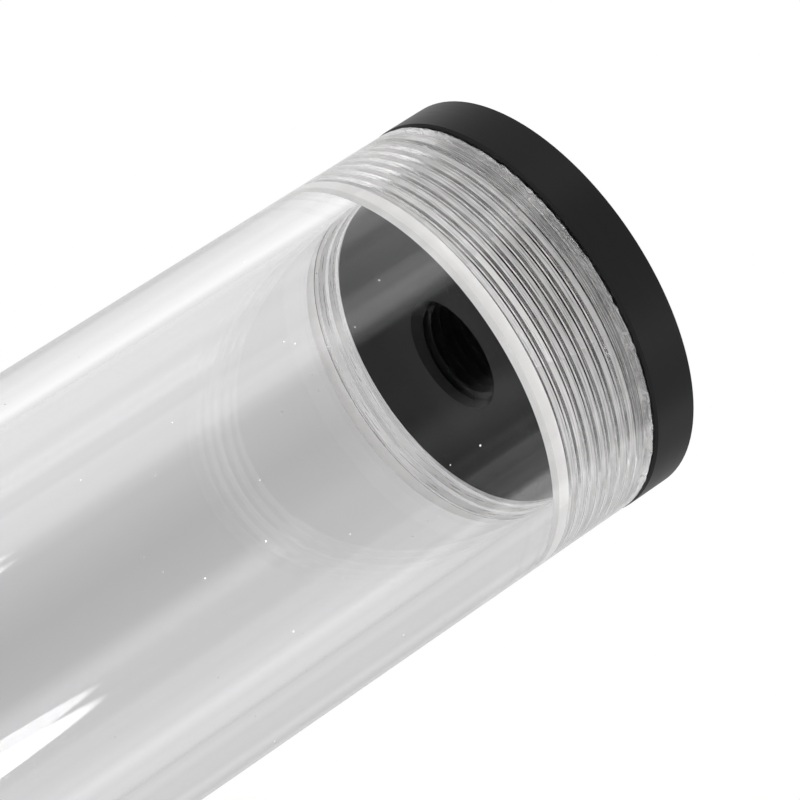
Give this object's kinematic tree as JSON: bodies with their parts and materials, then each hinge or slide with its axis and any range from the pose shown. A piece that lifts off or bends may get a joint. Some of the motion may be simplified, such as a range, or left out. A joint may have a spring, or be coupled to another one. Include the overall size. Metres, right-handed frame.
{
  "type": "water cooling reservoir",
  "caption": "Clear cylindrical coolant reservoir with black screw-in end caps, a plugged fill port on top, and inlet, outlet and drain ports below.",
  "frame": {"origin": "centre of the bottom cap's outer face, on which the reservoir stands", "axes": "+Z along the tube's axis, up to the fill plug; +Y from the axis towards the inlet port"},
  "size_m": [0.0502, 0.0502, 0.1934],
  "materials": {
    "clear_acrylic": "clear, polished",
    "black_acetal": "turned, satin",
    "black_rubber": "moulded, matte",
    "plated_brass": "nickel plated, satin"
  },
  "bodies": {
    "bottom_cap": {"bottom_cap": "black_acetal", "inlet_standpipe": "clear_acrylic", "outlet_anti_vortex_cross": "black_acetal"},
    "bottom_seal": {"bottom_cap_o_ring": "black_rubber"},
    "tube": {"reservoir_tube": "clear_acrylic"},
    "top_seal": {"top_cap_o_ring": "black_rubber"},
    "top_cap": {"top_cap": "black_acetal"},
    "fill_plug_seal": {"fill_plug_o_ring": "black_rubber"},
    "fill_plug": {"fill_plug": "plated_brass"},
    "drain_plug_seal": {"drain_plug_o_ring": "black_rubber"},
    "drain_plug": {"drain_plug": "plated_brass"}
  },
  "joints": [
    {"name": "tube_turn", "type": "hinge", "parent": "bottom_cap", "child": "bottom_seal", "pos_m": [0, 0, 0.006], "axis": [0, 0, 1], "range_deg": [0, 1800]},
    {"name": "tube_travel", "type": "slide", "parent": "bottom_seal", "child": "tube", "axis": [0, 0, 1], "range_m": [0, 0.0075]},
    {"name": "top_cap_travel", "type": "slide", "parent": "tube", "child": "top_seal", "axis": [0, 0, 1], "range_m": [0, 0.0075]},
    {"name": "top_cap_turn", "type": "hinge", "parent": "top_seal", "child": "top_cap", "pos_m": [0, 0, 0.184], "axis": [0, 0, 1], "range_deg": [0, 1800]},
    {"name": "fill_plug_travel", "type": "slide", "parent": "top_cap", "child": "fill_plug_seal", "axis": [0, 0, 1], "range_m": [0, 0.00602]},
    {"name": "fill_plug_turn", "type": "hinge", "parent": "fill_plug_seal", "child": "fill_plug", "pos_m": [0, 0, 0.19], "axis": [0, 0, 1], "range_deg": [0, 1620]},
    {"name": "drain_plug_travel", "type": "slide", "parent": "bottom_cap", "child": "drain_plug_seal", "axis": [0, 0, -1], "range_m": [0, 0.00602]},
    {"name": "drain_plug_turn", "type": "hinge", "parent": "drain_plug_seal", "child": "drain_plug", "pos_m": [0.01005, -0.0058, 0], "axis": [0, 0, -1], "range_deg": [0, 1620]}
  ],
  "couplings": [
    {"joint": "tube_turn", "follows": "tube_travel", "rad_per_m": 4188.8},
    {"joint": "top_cap_turn", "follows": "top_cap_travel", "rad_per_m": 4188.8},
    {"joint": "fill_plug_turn", "follows": "fill_plug_travel", "rad_per_m": 4699.5},
    {"joint": "drain_plug_turn", "follows": "drain_plug_travel", "rad_per_m": 4699.5}
  ]
}
